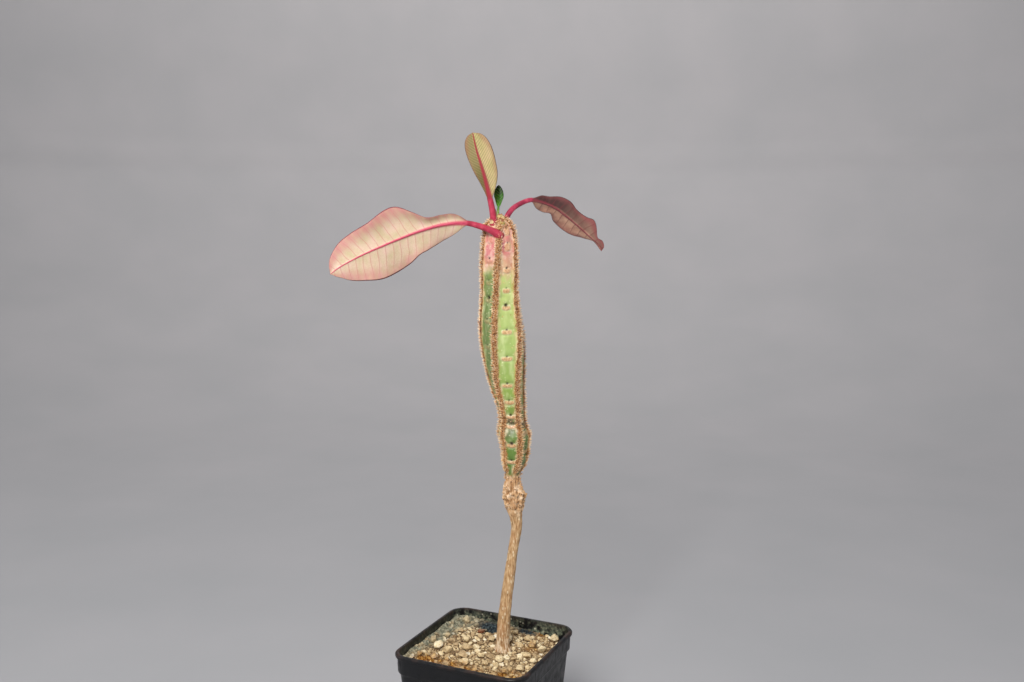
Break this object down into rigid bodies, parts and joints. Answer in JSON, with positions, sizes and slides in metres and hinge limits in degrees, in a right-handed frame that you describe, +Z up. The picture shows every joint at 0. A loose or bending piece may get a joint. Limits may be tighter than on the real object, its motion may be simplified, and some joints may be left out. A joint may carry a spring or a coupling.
{
  "type": "potted euphorbia",
  "caption": "Young ribbed succulent with a slim woody foot and leaves at its tip, rooted in gritty mix in a square nursery pot.",
  "frame": {"origin": "centre of the flat pad in the middle of the pot's underside, level with the table", "axes": "+Z up along the pot and stem; +X and +Y along the pot's sides"},
  "size_m": [0.1189, 0.1401, 0.3983],
  "materials": {
    "pot_plastic": "black moulded polypropylene, satin, dusty at the rim",
    "potting_mix": "fine pumice and grit, damp in patches, with a grey green crust along one wall",
    "grit": "rounded porous pumice, matte",
    "bark_chip": "rough red brown bark",
    "stem_skin": "smooth waxy green skin between brown bristled ridges, tan bark below",
    "leaf": "thin satin leaf, pale cream green underneath with pink veins",
    "leaf_dusky": "thin satin leaf, dusky pink brown underneath",
    "leaf_young": "glossy dark green"
  },
  "bodies": {
    "root": {"pot": "pot_plastic", "potting_mix": "potting_mix", "stem": "stem_skin", "leaf_left": "leaf", "leaf_top": "leaf", "leaf_right": "leaf_dusky", "young_leaf": "leaf_young", "brown_chip": "bark_chip", "grit_01": "grit", "grit_02": "grit", "grit_03": "grit", "grit_04": "grit", "grit_05": "grit", "grit_06": "grit", "grit_07": "grit", "grit_08": "grit", "grit_09": "grit", "grit_10": "grit", "grit_11": "grit", "grit_12": "grit", "grit_13": "grit", "grit_14": "grit", "grit_15": "grit", "grit_16": "grit", "grit_17": "grit", "grit_18": "grit", "grit_19": "grit", "grit_20": "grit", "grit_21": "grit", "grit_22": "grit", "grit_23": "grit", "grit_24": "grit", "grit_25": "grit", "grit_26": "grit", "grit_27": "grit", "grit_28": "grit", "grit_29": "grit", "grit_30": "grit", "grit_31": "grit", "grit_32": "grit", "grit_33": "grit", "grit_34": "grit", "grit_35": "grit", "grit_36": "grit", "grit_37": "grit"}
  },
  "joints": []
}
